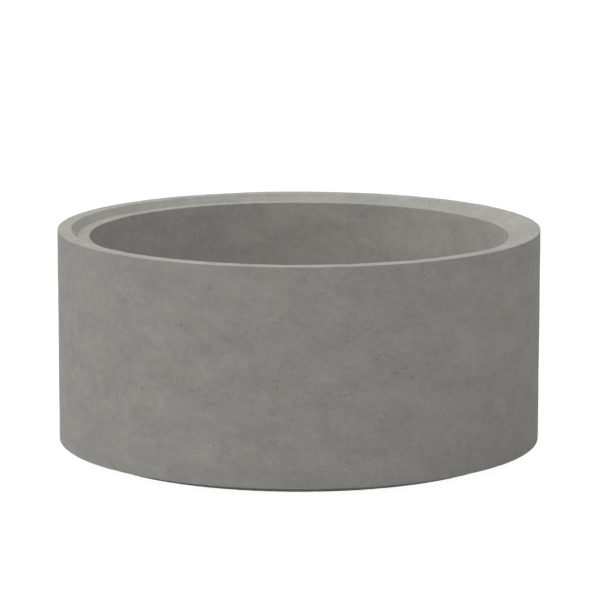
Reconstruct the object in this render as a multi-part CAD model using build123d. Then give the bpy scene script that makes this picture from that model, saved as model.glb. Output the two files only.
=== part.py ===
from build123d import *
import os

# Concrete culvert ring: one casting, a short wide tube with a stacking joint at each end.
# The top has a rebate with a sloped side, cut into the inner edge. Under the base a tongue of the
# same slope drops into the rebate of the ring below. The section is drawn once, beside the bore
# axis, and turned about it. Millimetres, +Z up, origin on the bore axis under the tongue.

# Body
BORE_DIAMETER = 1000.0  # clear passage
WALL = 77.0  # from the bore to the outer face
BODY_HEIGHT = 509.0  # outer face, from the shoulder under it to the rim

# Rebate in the top
RIM_WIDTH = 33.0  # flat rim left outside the rebate
REBATE_DEPTH = 17.0  # from the rim down to the ledge
REBATE_RUN = 16.0  # how far the sloped side leans in over that depth

# Tongue under the base
JOINT_GAP = 4.0  # radial room for mortar between a tongue and the rebate it sits in
BED_GAP = 1.0  # how much further the tongue reaches than the rebate is deep

# Edges
BORE_CHAMFER = 1.0  # lead-in at both ends of the bore
ARRIS_RADIUS = 1.5  # rounding of the other corners that stand proud
ROOT_RADIUS = 2.0  # rounding of the two corners at the foot of a slope


def ring_section():
    """Half of the ring's section: its corners as (radius, height), joined by lines and then eased."""
    bore = BORE_DIAMETER / 2
    outer = bore + WALL
    shoulder_height = REBATE_DEPTH + BED_GAP
    rim_height = shoulder_height + BODY_HEIGHT
    ledge_height = rim_height - REBATE_DEPTH

    rebate_mouth = outer - RIM_WIDTH
    rebate_foot = rebate_mouth - REBATE_RUN
    tongue_tip = rebate_foot - JOINT_GAP
    tongue_root = tongue_tip + shoulder_height * REBATE_RUN / REBATE_DEPTH

    corners = [
        (bore, 0),
        (tongue_tip, 0),
        (tongue_root, shoulder_height),
        (outer, shoulder_height),
        (outer, rim_height),
        (rebate_mouth, rim_height),
        (rebate_foot, ledge_height),
        (bore, ledge_height),
    ]
    bore_ends = [corners[0], corners[-1]]
    roots = [(tongue_root, shoulder_height), (rebate_foot, ledge_height)]
    arrises = [corner for corner in corners if corner not in bore_ends + roots]

    section = make_face(Polyline(*corners, close=True))
    section = chamfer(corners_at(section, bore_ends), BORE_CHAMFER)
    section = fillet(corners_at(section, arrises), ARRIS_RADIUS)
    return fillet(corners_at(section, roots), ROOT_RADIUS)


def corners_at(face, points):
    """The face's corner nearest to each point."""
    return [face.vertices().sort_by_distance(point)[0] for point in points]


def concrete_ring():
    """The casting: the section turned once about the bore axis."""
    return revolve(Plane.XZ * ring_section(), Axis.Z)


os.makedirs("parts", exist_ok=True)
export_step(concrete_ring(), "parts/concrete_ring.step")
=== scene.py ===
import math

import bpy
import numpy as np
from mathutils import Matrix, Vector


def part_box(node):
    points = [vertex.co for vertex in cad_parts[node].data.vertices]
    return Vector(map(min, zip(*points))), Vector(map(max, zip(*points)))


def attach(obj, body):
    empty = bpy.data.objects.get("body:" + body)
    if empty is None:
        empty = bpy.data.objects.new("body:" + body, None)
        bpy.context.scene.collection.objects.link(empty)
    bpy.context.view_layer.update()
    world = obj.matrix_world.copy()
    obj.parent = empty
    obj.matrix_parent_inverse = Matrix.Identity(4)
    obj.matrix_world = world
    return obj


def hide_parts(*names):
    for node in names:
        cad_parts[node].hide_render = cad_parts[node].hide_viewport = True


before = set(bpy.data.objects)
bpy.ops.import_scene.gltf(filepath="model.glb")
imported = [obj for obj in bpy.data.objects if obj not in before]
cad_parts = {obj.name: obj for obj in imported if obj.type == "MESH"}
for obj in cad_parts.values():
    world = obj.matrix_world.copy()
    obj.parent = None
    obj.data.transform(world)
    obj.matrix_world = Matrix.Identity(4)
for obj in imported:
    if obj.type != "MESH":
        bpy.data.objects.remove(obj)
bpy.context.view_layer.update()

# Section of the ring, in metres. The outer radius and the height come from the CAD node.
RING_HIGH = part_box("concrete_ring")[1]
OUTER = float(RING_HIGH[0])
RIM_HEIGHT = float(RING_HIGH[2])
WALL = 0.077
BORE = OUTER - WALL
RIM_WIDTH = 0.033
REBATE_DEPTH = 0.017
REBATE_RUN = 0.016
JOINT_GAP = 0.004
BED_GAP = 0.001

# Easing of the corners, and the steps in each arc: more on the two corners of the outer wall
ARRIS_RADIUS = 0.0015
ROOT_RADIUS = 0.002
BORE_CHAMFER = 0.001
CHAMFER_EASE = 0.0005
ARC_STEPS = 3
WALL_ARC_STEPS = 5

# Grid of the surface: columns around the ring, and about how long a cell is along the section
COLUMNS = 400
CELL = 0.0088
FULL_TURN = 2 * math.pi
SHARP_ANGLE = 38

# Cast surface: slow waves of unevenness, sunk below the true face, and quick waves of wear on the
# corners. Periods are counted around the ring, from the slowest wave up to the fastest.
SEED = 41
UNEVEN_WAVES = 40
UNEVEN_PERIODS = (2, 34)
UNEVEN_MEAN = 0.0004
UNEVEN_LEAST = 0.00018
UNEVEN_SPREAD = 0.00016
FOOT_FLAT = 0.012
WEAR_WAVES = 30
WEAR_PERIODS = (40, 190)
WEAR_SPREAD = 0.00022

# Runs of the section between two corners, in the order in which the outline meets them, and how
# much painted light each gets: a painted brightening of the concrete, strongest on the recess under
# the shoulder, then on the lower chamfer, the bore, the rebate slope, the rim and the upper chamfer;
# none on the outer wall and the ledge.
RUN_PAINTED_LIGHT = {
    "underside": 1.0,
    "tongue_slope": 1.0,
    "shoulder": 1.0,
    "outer_wall": 0.0,
    "rim": 0.1,
    "rebate_slope": 0.2,
    "ledge": 0.0,
    "upper_chamfer": 0.1,
    "bore": 0.27,
    "lower_chamfer": 0.3,
}
RUNS = list(RUN_PAINTED_LIGHT)

# Air holes placed at random on each run: (clusters, single holes)
AIR_HOLES = {
    "underside": (2, 14),
    "tongue_slope": (1, 10),
    "shoulder": (3, 20),
    "outer_wall": (24, 150),
    "rim": (3, 22),
    "rebate_slope": (2, 10),
    "ledge": (2, 16),
    "bore": (8, 90),
}
CLUSTER_COUNT = (3, 10)
CLUSTER_RISE = 0.009
CLUSTER_WIDTH = 0.024
CLUSTER_RADIUS = 0.0023
CLUSTER_RADIUS_SPREAD = 0.22
SINGLE_RADIUS = 0.0012
SINGLE_RADIUS_SPREAD = 0.25
# Strength of the painted shade in the scattered air holes
HOLE_SHADE_STRENGTH = (0.35, 0.8)
HOLE_RADII = (0.0006, 0.0032)

# Places of air holes noted in the photograph, in its pixels: plain ones, then those that stand out
SEEN_HOLES = np.array([
    (78, 284), (126, 292), (113, 365), (111, 379), (129, 379), (157, 353), (146, 298), (184, 328),
    (146, 324), (99, 370), (122, 393), (157, 388), (141, 387), (211, 286), (229, 278), (234, 319),
    (238, 307), (283, 319), (284, 333), (287, 314), (211, 404), (219, 389), (260, 386), (277, 382),
    (297, 380), (310, 393), (327, 394), (286, 396), (322, 406), (222, 453), (277, 441), (322, 430),
    (271, 413), (251, 414), (285, 449), (289, 449), (320, 470), (304, 426), (356, 307), (330, 275),
    (345, 341), (377, 359), (375, 354), (405, 316), (412, 316), (418, 315), (408, 380), (414, 376),
    (424, 378), (427, 363), (449, 370), (449, 393), (441, 388), (444, 387), (451, 332), (444, 313),
    (425, 276), (224, 338), (221, 341), (227, 342),
])
STRONG_HOLES = np.array([
    (153, 322), (171, 379), (176, 379), (193, 391), (229, 340), (277, 324), (298, 279), (278, 386),
    (301, 382), (298, 395), (231, 394), (212, 447), (230, 456), (290, 429), (346, 278), (369, 329),
    (404, 309), (396, 371), (404, 370), (346, 395),
])
# The noted holes with their radius and strength of painted shade, and the small hole on either side of
# each
NOTED_HOLES = ((STRONG_HOLES, 0.0030, 0.75), (SEEN_HOLES, 0.0026, 0.4))
NOTED_RADIUS_SPREAD = 0.12
SIDE_HOLE_RISE = 0.004
SIDE_HOLE_AWAY = (0.006, 0.014)
SIDE_HOLE_RADIUS = 0.0018
SIDE_HOLE_RADIUS_SPREAD = 0.25
# Strength of the painted shade in the small side holes
SIDE_HOLE_SHADE_STRENGTH = 0.5

# Shape of a hole. Its rings from rim to floor: (share of the radius, of the depth, of the painted shade)
HOLE_SIDES = 8
HOLE_RINGS = np.array([(1.0, 0.0, 0.45), (0.72, 0.5, 0.85), (0.4, 0.9, 1.0)])
HOLE_MARGIN = 0.0006
HOLE_OVAL = 0.22
HOLE_RAGGED = (0.88, 1.0)
HOLE_DEPTH = (0.35, 0.6)

# Faint warm stains noted in the photograph, in its pixels
WARM_SPOTS = np.array([
    (276, 280), (94, 298), (180, 312), (280, 312), (102, 352), (168, 360), (102, 374), (176, 376),
    (280, 385),
])
WARM_REACH = 0.014

# Patterns in the concrete: (cells for each metre, layers, weight of each next layer, twist)
CLOUDS = (8.5, 4.0, 0.55, 0.4)
MOTTLE = (42.0, 4.0, 0.62, 0.0)
SPECKLE = (160.0, 2.0, 0.55, 0.0)
GRAIN = (900.0, 2.0, 0.6, 0.0)
STAINS = (7.5, 2.0, 0.5, 0.0)
GATHERING = (17.0, 2.0, 0.5, 0.3)
NOISE_MIDDLE = 0.5
STAINED_BETWEEN = (0.60, 0.72)
GATHERED_BETWEEN = (0.50, 0.64)
# Specks: (cells for each metre, share of the cells left bare), and how far a speck fades
PINHOLES = (70.0, 0.62)
SAND = (105.0, 0.72)
SPECK_FADE = (0.05, 0.15)
SPECK_CHOICE = 0.01
# How the patterns are flattened, and where the pattern of clouds starts
MOTTLE_FLATTENED = (1.0, 1.0, 1.35)
CLOUDS_FLATTENED = (1.0, 1.0, 1.9)
PINHOLES_FLATTENED = (1.0, 1.0, 2.0)
CLOUD_PLACE = (5.2, 4.1, 2.3)

# Weights of the patterns in the colour. A pair is the weight everywhere and what gathering adds.
CLOUD_WEIGHT = 1.05
MOTTLE_WEIGHT = 0.92
SPECKLE_WEIGHT = (0.4, 0.9)
GRAIN_WEIGHT = 0.1
SAND_WEIGHT = (0.16, 0.34)
# Painted shade: how far the pinholes are darkened, everywhere and where they gather
PINHOLE_SHADE_WEIGHT = (0.16, 0.38)
STAIN_WEIGHT = 0.25
WARM_WEIGHT = 0.55
# Painted shade: how far the air holes are darkened
HOLE_SHADE_WEIGHT = 0.24
MIDDLE_TONE = 0.5
# Painted light on the brightened runs: where their blotches steepen, by how much, and how far their
# colour is scaled up
PAINTED_LIGHT_BETWEEN = (0.05, 0.3)
PAINTED_LIGHT_CONTRAST = 0.15
PAINTED_LIGHT_GAIN = 0.58
DARK_CEMENT = (0.2905, 0.2855, 0.2650, 1)
PALE_CEMENT = (0.4310, 0.4240, 0.3950, 1)
WARM_STAIN = (0.395, 0.362, 0.310, 1)
SAND_COLOUR = (0.60, 0.590, 0.555, 1)
# Painted shade in the pinholes
PINHOLE_SHADE_COLOUR = (0.14, 0.136, 0.125, 1)
# Painted shade in the air holes, strongest at their floors
HOLE_SHADE_COLOUR = (0.10, 0.097, 0.089, 1)

# Weights of the patterns in the bump, and the gloss
GRAIN_RELIEF = 0.6
SPECKLE_RELIEF = 0.8
SAND_RELIEF = 0.3
PINHOLE_RELIEF = 0.9
BUMP_STRENGTH = 0.4
BUMP_DISTANCE = 0.0006
ROUGHNESS = 0.86
MOTTLE_ROUGHNESS = 0.12
SPECULAR = 0.3

# Camera, in metres and degrees, for a square picture
PICTURE_SIZE = 600
PICTURE_MIDDLE = (PICTURE_SIZE - 1) / 2
CAMERA_PLACE = (0.0026, -8.1745, 1.8219)
CAMERA_PITCH = 90 - 10.218
CAMERA_ROLL = 0.043
CAMERA_LENS = 207.55
CAMERA_REACH = 200
SENSOR_WIDTH = 36

# Light: (name, where it comes from, strength)
LAMPS = (
    ("key", (-0.6, 0.0, 1.0), 2.14),
    ("front_fill", (0.0, -1.0, 0.1), 0.79),
    ("right_fill", (0.6, 0.0, 1.0), 0.68),
)
LAMP_SOFTNESS = 60
SKY_STRENGTH = 0.15
WHITE = (1, 1, 1, 1)

# Floor: its own grey lights the ring, and the camera sees a white glow with a share of the grey
FLOOR_SIZE = 60
FLOOR_GREY = (0.55, 0.55, 0.55, 1)
FLOOR_GLOW = 1.14
FLOOR_GREY_SHARE = 0.15


class Wire:
    """One output of a node tree. Arithmetic between wires and numbers adds Math nodes to the tree."""

    def __init__(self, tree, socket=None):
        self.tree = tree
        self.socket = socket

    def node(self, kind, settings=None, sockets=None, output=0):
        """One output of a new node: its settings are set first, then its inputs take values or wires."""
        made = self.tree.nodes.new("ShaderNode" + kind)
        for name, value in (settings or {}).items():
            setattr(made, name, value)
        for name, value in (sockets or {}).items():
            if isinstance(value, Wire):
                self.tree.links.new(value.socket, made.inputs[name])
            else:
                made.inputs[name].default_value = value
        return Wire(self.tree, made.outputs[output] if made.outputs else None)

    def math(self, operation, first, second):
        return self.node("Math", {"operation": operation}, {0: first, 1: second})

    def __add__(self, other):
        return self.math("ADD", self, other)

    def __radd__(self, other):
        return self.math("ADD", other, self)

    def __sub__(self, other):
        return self.math("SUBTRACT", self, other)

    def __rsub__(self, other):
        return self.math("SUBTRACT", other, self)

    def __mul__(self, other):
        return self.math("MULTIPLY", self, other)

    def __rmul__(self, other):
        return self.math("MULTIPLY", other, self)

    def larger(self, other):
        return self.math("MAXIMUM", self, other)

    def step(self, low, high):
        """A smooth rise from 0 at low to 1 at high."""
        sockets = {"Value": self, "From Min": low, "From Max": high}
        return self.node("MapRange", {"interpolation_type": "SMOOTHSTEP"}, sockets)

    def between(self, first, second):
        """The colour that lies this wire's share of the way from the first to the second."""
        return self.node("Mix", {"data_type": "RGBA"}, {0: self, 6: first, 7: second}, 2)


def node_tree(owner):
    """The emptied node tree of a material or world, ready for wires."""
    owner.use_nodes = True
    owner.node_tree.nodes.clear()
    return Wire(owner.node_tree)


def eased_outline():
    """Outline of the wall's section as rows of (radius, height), counter-clockwise from the underside.

    Straight runs join the corners. Each corner gives way to an arc about
    corner - bend * ease * (n1 + n2) / (1 + n1.n2), where n1 and n2 are the outward normals of the
    runs that meet there and bend is 1 on a proud corner and -1 in a hollow one. Runs are cut into
    even cells. The painted light, a painted brightening, changes from one run's to the next one's
    over the arc between them.
    """
    shoulder = REBATE_DEPTH + BED_GAP
    ledge = RIM_HEIGHT - REBATE_DEPTH
    mouth = OUTER - RIM_WIDTH
    foot = mouth - REBATE_RUN
    tip = foot - JOINT_GAP
    root = tip + shoulder * REBATE_RUN / REBATE_DEPTH
    corners = np.array([
        (BORE + BORE_CHAMFER, 0, CHAMFER_EASE, ARC_STEPS),
        (tip, 0, ARRIS_RADIUS, ARC_STEPS),
        (root, shoulder, ROOT_RADIUS, ARC_STEPS),
        (OUTER, shoulder, ARRIS_RADIUS, WALL_ARC_STEPS),
        (OUTER, RIM_HEIGHT, ARRIS_RADIUS, WALL_ARC_STEPS),
        (mouth, RIM_HEIGHT, ARRIS_RADIUS, ARC_STEPS),
        (foot, ledge, ROOT_RADIUS, ARC_STEPS),
        (BORE + BORE_CHAMFER, ledge, CHAMFER_EASE, ARC_STEPS),
        (BORE, ledge - BORE_CHAMFER, CHAMFER_EASE, ARC_STEPS),
        (BORE, BORE_CHAMFER, CHAMFER_EASE, ARC_STEPS),
    ])
    point = corners[:, :2]
    ease = corners[:, 2]
    run = np.roll(point, -1, 0) - point
    length = np.hypot(run[:, 0], run[:, 1])
    along = run / length[:, None]
    after = np.stack([along[:, 1], -along[:, 0]], 1)
    before = np.roll(after, 1, 0)
    facing = (before * after).sum(1)
    turn = np.arctan2(before[:, 0] * after[:, 1] - before[:, 1] * after[:, 0], facing)
    bend = np.sign(turn)
    tangent = ease * np.tan(np.abs(turn) / 2)
    centre = point - (bend * ease / (1 + facing))[:, None] * (before + after)
    start = np.arctan2(before[:, 1], before[:, 0])

    # Painted light: each run's share of a painted brightening of the concrete
    shade = np.array(list(RUN_PAINTED_LIGHT.values()))
    rows = {"place": [], "normal": [], "arris": [], "painted_light": [], "run": []}
    for k in range(len(RUNS)):
        angle = start[k] + turn[k] * np.linspace(0, 1, int(corners[k, 3]) + 1)
        normal = np.stack([np.cos(angle), np.sin(angle)], 1)
        arc = centre[k] + bend[k] * ease[k] * normal
        straight = length[k] - tangent[k] - tangent[(k + 1) % len(RUNS)]
        cells = max(1, round(straight / CELL))
        steps = np.arange(1, cells)[:, None] * straight / cells
        rows["place"] += [arc, arc[-1] + steps * along[k]]
        rows["normal"] += [normal, np.repeat(after[k : k + 1], cells - 1, 0)]
        proud = 1.0 if bend[k] > 0 else 0.0
        rows["arris"] += [np.full(len(arc), proud), np.zeros(cells - 1)]
        painted_light_arc = np.linspace(shade[k - 1], shade[k], len(arc))
        rows["painted_light"] += [painted_light_arc, np.full(cells - 1, shade[k])]
        rows["run"] += [np.full(len(arc) - 1, -1), np.full(cells, k)]
    outline = {name: np.concatenate(parts) for name, parts in rows.items()}
    gaps = np.roll(outline["place"], -1, 0) - outline["place"]
    outline["distance"] = np.concatenate([[0], np.cumsum(np.hypot(gaps[:, 0], gaps[:, 1]))])
    return outline


def waves(rng, count, periods, spread):
    """Random waves over the ring that close on themselves, the quicker the lower: whole numbers of
    periods around and along, phases and heights.
    """
    slowest, fastest = periods
    around = rng.integers(slowest, fastest, count) * rng.choice([-1, 1], count)
    along = rng.integers(0, fastest // 2, count)
    height = 1 / (1 + np.hypot(around, along))
    height *= spread * math.sqrt(2) / np.sqrt((height**2).sum())
    return around, along, rng.uniform(0, FULL_TURN, count), height


def wave_sum(field, s, t):
    """Sum over the waves of height * sin(around * t + along * s + phase), s in turns of the outline."""
    around, along, phase, height = field
    total = np.zeros(np.broadcast(s, t).shape)
    for a, b, p, h in zip(around, along, phase, height):
        total += h * np.sin(a * t + b * s + p)
    return total


class RingSurface:
    """The ring's surface as a function of s, metres along the section's outline, and t, the angle
    about the bore axis.
    """

    def __init__(self, rng):
        self.outline = eased_outline()
        self.distance = self.outline["distance"]
        self.round = self.distance[-1]
        self.uneven = waves(rng, UNEVEN_WAVES, UNEVEN_PERIODS, UNEVEN_SPREAD)
        self.wear = waves(rng, WEAR_WAVES, WEAR_PERIODS, WEAR_SPREAD)

    def read(self, values, s):
        """Values given at the outline's rows, taken at s."""
        return np.interp(s, self.distance, np.append(values, values[0]))

    def cells_of(self, run):
        """Numbers of the outline's cells on a named run."""
        return np.flatnonzero(self.outline["run"] == RUNS.index(run))

    def point(self, s, t, sunk):
        """outline(s) - (sunk + unevenness + wear) * normal(s), turned by t: x = r cos t, y = r sin t.

        The unevenness is a sum of slow waves about its mean with a least depth, so it never stands
        proud; it fades out towards the foot, so that the ring stands flat. The wear is the size of
        a sum of quick waves, on the proud corners alone.
        """
        place, normal = self.outline["place"], self.outline["normal"]
        height = self.read(place[:, 1], s)
        outline_turn = FULL_TURN * s / self.round
        uneven = np.maximum(UNEVEN_MEAN + wave_sum(self.uneven, outline_turn, t), UNEVEN_LEAST)
        uneven = uneven * np.clip(height / FOOT_FLAT, 0, 1)
        worn = self.read(self.outline["arris"], s) * np.abs(wave_sum(self.wear, outline_turn, t))
        depth = sunk + uneven + worn
        r = self.read(place[:, 0], s) - depth * self.read(normal[:, 0], s)
        z = height - depth * self.read(normal[:, 1], s)
        return np.stack([r * np.cos(t), r * np.sin(t), np.maximum(z, 0)], -1)


def on_wall(pixels):
    """Height and angle about the bore axis where the camera's ray through a pixel of the photograph
    first meets the outer face: the nearer root of |place + k * ray| = OUTER in plan.
    """
    focal = CAMERA_LENS / SENSOR_WIDTH * PICTURE_SIZE
    across = (pixels[:, 0] - PICTURE_MIDDLE) / focal
    up = (PICTURE_MIDDLE - pixels[:, 1]) / focal
    tilt = math.radians(CAMERA_PITCH)
    forward = up * math.cos(tilt) + math.sin(tilt)
    ray = np.stack([across, forward, up * math.sin(tilt) - math.cos(tilt)], 1)
    x, y, z = CAMERA_PLACE
    a = (ray[:, :2] ** 2).sum(1)
    b = ray[:, 0] * x + ray[:, 1] * y
    k = (-b - np.sqrt(b**2 - a * (x**2 + y**2 - OUTER**2))) / a
    return z + k * ray[:, 2], np.arctan2(y + k * ray[:, 1], x + k * ray[:, 0])


def warmth(points):
    """Largest over the warm spots of exp(-(distance to the spot / WARM_REACH)^2 / 2)."""
    height, t = on_wall(WARM_SPOTS)
    spots = np.stack([OUTER * np.cos(t), OUTER * np.sin(t), height], 1)
    far = ((points[:, None] - spots) ** 2).sum(2) / WARM_REACH**2
    return np.exp(-far / 2).max(1)


def noted_holes(surface, rng):
    """(s, t, radius, strength of painted shade) of the air holes noted in the photograph, each with a
    small hole to its left and its right.
    """
    found = []
    foot = surface.cells_of("outer_wall")[0]
    for pixels, radius, shade_strength in NOTED_HOLES:
        height, t = on_wall(pixels)
        count = len(pixels)
        s = surface.distance[foot] + height - surface.outline["place"][foot, 1]
        r = rng.lognormal(math.log(radius), NOTED_RADIUS_SPREAD, count)
        found.append(np.stack([s, t, r, np.full(count, shade_strength)], 1))
        for side in (-1, 1):
            side_s = s + rng.normal(0, SIDE_HOLE_RISE, count)
            side_t = t + side * rng.uniform(*SIDE_HOLE_AWAY, count) / OUTER
            r = rng.lognormal(math.log(SIDE_HOLE_RADIUS), SIDE_HOLE_RADIUS_SPREAD, count)
            found.append(np.stack([side_s, side_t, r, np.full(count, SIDE_HOLE_SHADE_STRENGTH)], 1))
    return found


def scattered_holes(surface, rng):
    """(s, t, radius, strength of painted shade) of the air holes placed at random.

    A cluster spreads further around the ring than along the wall. Single holes lie evenly between
    and are smaller. On the outer face the clusters keep to the half away from the camera.
    """
    found = []
    for name, (clusters, singles) in AIR_HOLES.items():
        cells = surface.cells_of(name)
        low, high = surface.distance[cells[0]], surface.distance[cells[-1] + 1]
        turn = math.pi if name == "outer_wall" else FULL_TURN
        size = rng.integers(*CLUSTER_COUNT, clusters)
        count = size.sum()
        spread_s = rng.normal(0, CLUSTER_RISE, count)
        spread_t = rng.normal(0, CLUSTER_WIDTH / OUTER, count)
        s = np.repeat(rng.uniform(low, high, clusters), size) + spread_s
        t = np.repeat(rng.uniform(0, turn, clusters), size) + spread_t
        r = rng.lognormal(math.log(CLUSTER_RADIUS), CLUSTER_RADIUS_SPREAD, count)
        found.append(np.stack([s, t, r, rng.uniform(*HOLE_SHADE_STRENGTH, count)], 1))
        s = rng.uniform(low, high, singles)
        t = rng.uniform(0, FULL_TURN, singles)
        r = rng.lognormal(math.log(SINGLE_RADIUS), SINGLE_RADIUS_SPREAD, singles)
        found.append(np.stack([s, t, r, rng.uniform(*HOLE_SHADE_STRENGTH, singles)], 1))
    return found


def hole_cells(surface, rng):
    """The air holes that the grid takes, one in a cell, as arrays: the cell's row and column, the
    hole's s, t, radius and strength of painted shade, and the angle about the axis that one metre spans
    there.

    The first hole that falls in a cell is kept, unless the cell lies on a corner's arc. Its radius
    and its place are held back, so that it stays clear of the cell's edges.
    """
    column_turn = FULL_TURN / COLUMNS
    edge = surface.distance
    rows = len(edge) - 1
    found = noted_holes(surface, rng) + scattered_holes(surface, rng)
    s, t, radius, shade_strength = np.concatenate(found).T
    t = t % FULL_TURN
    radius = np.clip(radius, *HOLE_RADII)

    row = np.searchsorted(edge, s, side="right") - 1
    column = np.floor(t / column_turn).astype(int) % COLUMNS
    fits = (row >= 0) & (row < rows)
    row = np.where(fits, row, 0)
    fits &= surface.outline["run"][row] >= 0
    key = np.where(fits, row * COLUMNS + column, -1)
    first = np.unique(key, return_index=True)[1]
    chosen = first[key[first] >= 0]
    row, column, s, t, radius, shade_strength = (a[chosen] for a in (row, column, s, t, radius, shade_strength))

    deep = edge[row + 1] - edge[row]
    across = column_turn * surface.read(surface.outline["place"][:, 0], s)
    radius = np.minimum(radius, 0.5 * np.minimum(deep, across) - 2 * HOLE_MARGIN)
    room_s = radius + HOLE_MARGIN
    room_t = room_s / across * column_turn
    metre_turn = column_turn / across
    s = np.clip(s, edge[row] + room_s, edge[row + 1] - room_s)
    t = np.clip(t, column * column_turn + room_t, (column + 1) * column_turn - room_t)
    return row, column, s, t, radius, shade_strength, metre_turn


def ring_mesh():
    """The ring as one closed mesh: a grid over the whole surface, with an open-topped pit in place of
    each cell that holds an air hole.

    A pit is eight-sided. Its rings lie at (hole's centre + share * reach * direction) and are sunk
    by a share of its depth; reach is the radius, made oval and ragged. The rim joins the cell's four
    corners, two of its vertices to each corner.
    """
    rng = np.random.default_rng(SEED)
    surface = RingSurface(rng)
    distance = surface.distance[:-1]
    rows = len(distance)

    s, t = np.meshgrid(distance, np.arange(COLUMNS) * (FULL_TURN / COLUMNS), indexing="ij")
    grid = surface.point(s, t, 0.0).reshape(-1, 3)
    index = np.arange(rows * COLUMNS).reshape(rows, COLUMNS)
    next_row = np.roll(index, -1, 0)
    cells = np.stack([index, np.roll(index, -1, 1), np.roll(next_row, -1, 1), next_row], -1)

    row, column, hole_s, hole_t, radius, shade_strength, metre_turn = hole_cells(surface, rng)
    count = len(row)
    side = FULL_TURN * (np.arange(HOLE_SIDES) + 0.5) / HOLE_SIDES
    lean = rng.uniform(0, FULL_TURN, (count, 1))
    oval = rng.uniform(0.0, HOLE_OVAL, (count, 1))
    ragged = rng.uniform(*HOLE_RAGGED, (count, HOLE_SIDES))
    reach = radius[:, None] * ragged * (1 - oval * np.cos(side - lean) ** 2)
    depth = radius * rng.uniform(*HOLE_DEPTH, count)
    share, sink, ring_shade = HOLE_RINGS.T
    reach_s = (reach * np.sin(side))[:, None, :]
    reach_t = (reach * np.cos(side) * metre_turn[:, None])[:, None, :]
    pit_s = hole_s[:, None, None] + share[:, None] * reach_s
    pit_t = hole_t[:, None, None] + share[:, None] * reach_t
    pit_sunk = depth[:, None, None] * np.broadcast_to(sink[:, None], (len(sink), HOLE_SIDES))
    pits = surface.point(pit_s, pit_t, pit_sunk).reshape(-1, 3)
    floors = surface.point(hole_s, hole_t, depth)

    pit_index = len(grid) + np.arange(len(pits)).reshape(count, len(HOLE_RINGS), HOLE_SIDES)
    floor_index = len(grid) + len(pits) + np.arange(count)
    rim = pit_index[:, 0]
    corner = cells[row, column][:, [2, 3, 0, 1]]
    even, odd = rim[:, 0::2], rim[:, 1::2]
    collar = np.stack([corner, np.roll(corner, -1, 1), np.roll(even, -1, 1), odd], -1)
    fan = np.stack([corner, odd, even], -1)
    upper, lower = pit_index[:, :-1], pit_index[:, 1:]
    wall = np.stack([upper, np.roll(upper, -1, 2), np.roll(lower, -1, 2), lower], -1)
    last = pit_index[:, -1]
    floor_corner = np.broadcast_to(floor_index[:, None], last.shape)
    bottom = np.stack([last, np.roll(last, -1, 1), floor_corner], -1)

    whole = np.ones((rows, COLUMNS), bool)
    whole[row, column] = False
    quads = np.concatenate([cells[whole], collar.reshape(-1, 4), wall.reshape(-1, 4)])
    triangles = np.concatenate([fan.reshape(-1, 3), bottom.reshape(-1, 3)])
    vertices = np.concatenate([grid, pits, floors])

    mesh = bpy.data.meshes.new("concrete_ring_cast")
    mesh.from_pydata(vertices.tolist(), [], quads.tolist() + triangles.tolist())
    # Painted shade in the pits, strongest at their floors
    pit_shade = np.outer(shade_strength, np.repeat(ring_shade, HOLE_SIDES)).ravel()
    hole_shade = np.concatenate([np.zeros(len(grid)), pit_shade, shade_strength])
    # Painted light: the runs' painted brightening, none in the pits
    grid_painted_light = np.repeat(surface.outline["painted_light"], COLUMNS)
    painted_light = np.concatenate([grid_painted_light, np.zeros(len(pits) + count)])
    for name, values in (("air_hole_shade", hole_shade), ("painted_light", painted_light), ("warm", warmth(vertices))):
        layer = mesh.attributes.new(name, "FLOAT", "POINT")
        layer.data.foreach_set("value", values.astype(np.float32))
    mesh.polygons.foreach_set("use_smooth", np.ones(len(mesh.polygons), bool))
    mesh.set_sharp_from_angle(angle=math.radians(SHARP_ANGLE))
    mesh.update()
    return mesh


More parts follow.
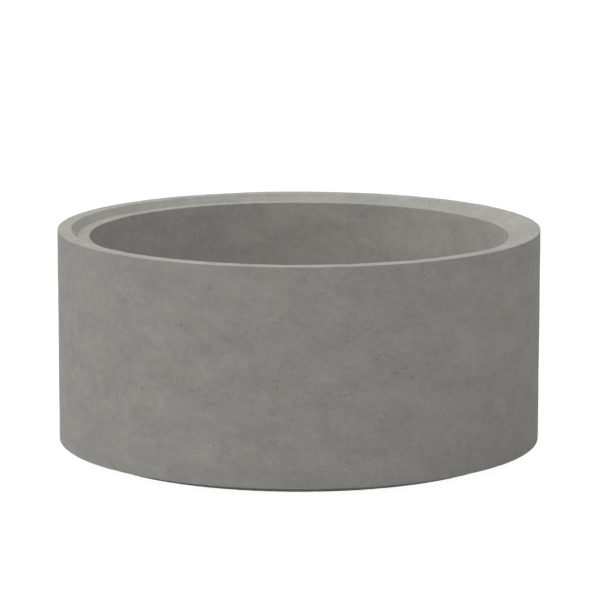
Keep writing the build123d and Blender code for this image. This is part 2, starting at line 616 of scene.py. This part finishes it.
def concrete():
    """Cast concrete: lighter and darker clouds and finer mottling in the cement, with speckle, sand and
    pinholes that gather in patches, and faint warm stains. The pinholes are darkened as painted
    shade, and the air holes carry painted shade that is strongest at their floors. Some runs carry
    painted light: a painted brightening of the recess under the shoulder, the bore, the rebate slope,
    the rim and the chamfers. Grain, speckle, sand and pinholes are also in the bump.
    """
    material = bpy.data.materials.new("cast_concrete")
    tree = node_tree(material)
    place = tree.node("TexCoord", output="Object")

    def flattened(scale, start=(0.0, 0.0, 0.0)):
        """The place in a pattern that starts elsewhere and is squeezed along the height."""
        return tree.node("Mapping", None, {"Vector": place, "Location": start, "Scale": scale})

    def noise(where, pattern):
        """A noise of layers, each twice as fine as the one before."""
        scale, detail, roughness, twist = pattern
        sockets = {"Vector": where, "Scale": scale, "Detail": detail, "Roughness": roughness}
        return tree.node("TexNoise", None, sockets | {"Distortion": twist})

    def specks(where, pattern):
        """1 on small spots in some of the cells, 0 elsewhere."""
        scale, bare = pattern
        sockets = {"Vector": where, "Scale": scale}
        spot = 1 - tree.node("TexVoronoi", None, sockets).step(*SPECK_FADE)
        draw = tree.node("TexVoronoi", None, sockets, "Color")
        return spot * draw.step(bare, bare + SPECK_CHOICE)

    def attribute(name):
        return tree.node("Attribute", {"attribute_name": name}, None, "Fac")

    lying = flattened(MOTTLE_FLATTENED)
    layered = flattened(CLOUDS_FLATTENED, CLOUD_PLACE)
    clouds = noise(layered, CLOUDS)
    mottle = noise(lying, MOTTLE)
    speckle = noise(lying, SPECKLE)
    grain = noise(place, GRAIN)
    stains = noise(place, STAINS).step(*STAINED_BETWEEN)
    gathered = noise(layered, GATHERING).step(*GATHERED_BETWEEN)
    pinhole = specks(flattened(PINHOLES_FLATTENED), PINHOLES)
    sand = specks(lying, SAND)
    # Painted shade in the air holes
    hole = attribute("air_hole_shade")
    # Painted light: a painted brightening of some runs
    painted_light = attribute("painted_light")
    warm = attribute("warm")

    def gathering(weight):
        """A weight that grows where the specks gather."""
        everywhere, added = weight
        return everywhere + added * gathered

    coarse = CLOUD_WEIGHT * (clouds - NOISE_MIDDLE) + MOTTLE_WEIGHT * (mottle - NOISE_MIDDLE)
    speckled = coarse + gathering(SPECKLE_WEIGHT) * (speckle - NOISE_MIDDLE)
    blotches = speckled + GRAIN_WEIGHT * (grain - NOISE_MIDDLE)
    # Painted light: blotches steepen on the brightened runs
    tone = MIDDLE_TONE + (1 + PAINTED_LIGHT_CONTRAST * painted_light.step(*PAINTED_LIGHT_BETWEEN)) * blotches
    cement = tone.between(DARK_CEMENT, PALE_CEMENT)
    stained = (STAIN_WEIGHT * stains).larger(WARM_WEIGHT * warm).between(cement, WARM_STAIN)
    # Painted light: the colour of the brightened runs is scaled up
    gain = 1 + PAINTED_LIGHT_GAIN * painted_light
    painted_lit = tree.node("VectorMath", {"operation": "SCALE"}, {"Vector": stained, "Scale": gain})
    sanded = (gathering(SAND_WEIGHT) * sand).between(painted_lit, SAND_COLOUR)
    # Painted shade: darker specks in the pinholes
    pinhole_shaded = (gathering(PINHOLE_SHADE_WEIGHT) * pinhole).between(sanded, PINHOLE_SHADE_COLOUR)
    # Painted shade in the air holes
    colour = (HOLE_SHADE_WEIGHT * hole).between(pinhole_shaded, HOLE_SHADE_COLOUR)

    fine = GRAIN_RELIEF * grain + SPECKLE_RELIEF * speckle
    relief = fine + SAND_RELIEF * sand - PINHOLE_RELIEF * pinhole
    bump = tree.node("Bump", None, {
        "Strength": BUMP_STRENGTH,
        "Distance": BUMP_DISTANCE,
        "Height": relief,
    })
    surface = tree.node("BsdfPrincipled", None, {
        "Base Color": colour,
        "Roughness": ROUGHNESS + MOTTLE_ROUGHNESS * mottle,
        "Specular IOR Level": SPECULAR,
        "Normal": bump,
    })
    tree.node("OutputMaterial", None, {"Surface": surface})
    return material


def add_object(name, data):
    """A new object at the origin, in the scene."""
    made = bpy.data.objects.new(name, data)
    bpy.context.scene.collection.objects.link(made)
    return made


def add_ring():
    """The cast ring, which stands for the CAD solid of the same size."""
    ring = add_object("concrete_ring_cast", ring_mesh())
    ring.data.materials.append(concrete())
    even = ring.modifiers.new("even_shading", "WEIGHTED_NORMAL")
    even.keep_sharp = True
    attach(ring, "root")
    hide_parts("concrete_ring")


def seen_directly(tree):
    """1 on rays from the camera and on those that gloss or glass sends on, 0 on rays that light a
    surface.
    """
    camera = tree.node("LightPath", output="Is Camera Ray")
    gloss = tree.node("LightPath", output="Is Glossy Ray")
    glass = tree.node("LightPath", output="Is Transmission Ray")
    return camera.larger(gloss).larger(glass)


def add_floor():
    """A light grey floor that the picture shows as white, with the ring's soft shadow on it."""
    half = FLOOR_SIZE / 2
    corners = [(-half, -half, 0), (half, -half, 0), (half, half, 0), (-half, half, 0)]
    mesh = bpy.data.meshes.new("floor")
    mesh.from_pydata(corners, [], [(0, 1, 2, 3)])
    material = bpy.data.materials.new("pale_floor")
    tree = node_tree(material)
    lit = tree.node("BsdfDiffuse", None, {"Color": FLOOR_GREY})
    glow = tree.node("Emission", None, {"Color": WHITE, "Strength": FLOOR_GLOW})
    shown = tree.node("MixShader", None, {0: FLOOR_GREY_SHARE, 1: glow, 2: lit})
    surface = tree.node("MixShader", None, {0: seen_directly(tree), 1: lit, 2: shown})
    tree.node("OutputMaterial", None, {"Surface": surface})
    floor = add_object("floor", mesh)
    floor.data.materials.append(material)


def add_light():
    """A white studio: an even sky, white to the camera, and three wide soft lamps, the strongest at
    the upper left.
    """
    world = bpy.data.worlds.new("studio")
    bpy.context.scene.world = world
    tree = node_tree(world)
    sky = tree.node("Background", None, {"Color": WHITE, "Strength": SKY_STRENGTH})
    white = tree.node("Background", None, {"Color": WHITE, "Strength": 1.0})
    surface = tree.node("MixShader", None, {0: seen_directly(tree), 1: sky, 2: white})
    tree.node("OutputWorld", None, {"Surface": surface})

    for name, (x, y, z), strength in LAMPS:
        lamp = bpy.data.lights.new(name, "SUN")
        lamp.energy = strength
        lamp.angle = math.radians(LAMP_SOFTNESS)
        tilt = math.atan2(math.hypot(x, y), z)
        add_object(name, lamp).rotation_euler = (tilt, 0, math.atan2(x, -y))


def add_camera():
    """The photograph's viewpoint: a long lens, a little above the ring."""
    data = bpy.data.cameras.new("camera")
    data.lens = CAMERA_LENS
    data.sensor_width = SENSOR_WIDTH
    data.sensor_fit = "HORIZONTAL"
    data.clip_end = CAMERA_REACH
    camera = add_object("camera", data)
    camera.location = CAMERA_PLACE
    camera.rotation_euler = (math.radians(CAMERA_PITCH), 0, 0)
    camera.rotation_euler.rotate_axis("Z", math.radians(CAMERA_ROLL))
    bpy.context.scene.camera = camera


add_ring()
add_floor()
add_light()
add_camera()
bpy.context.scene.view_settings.view_transform = "Standard"
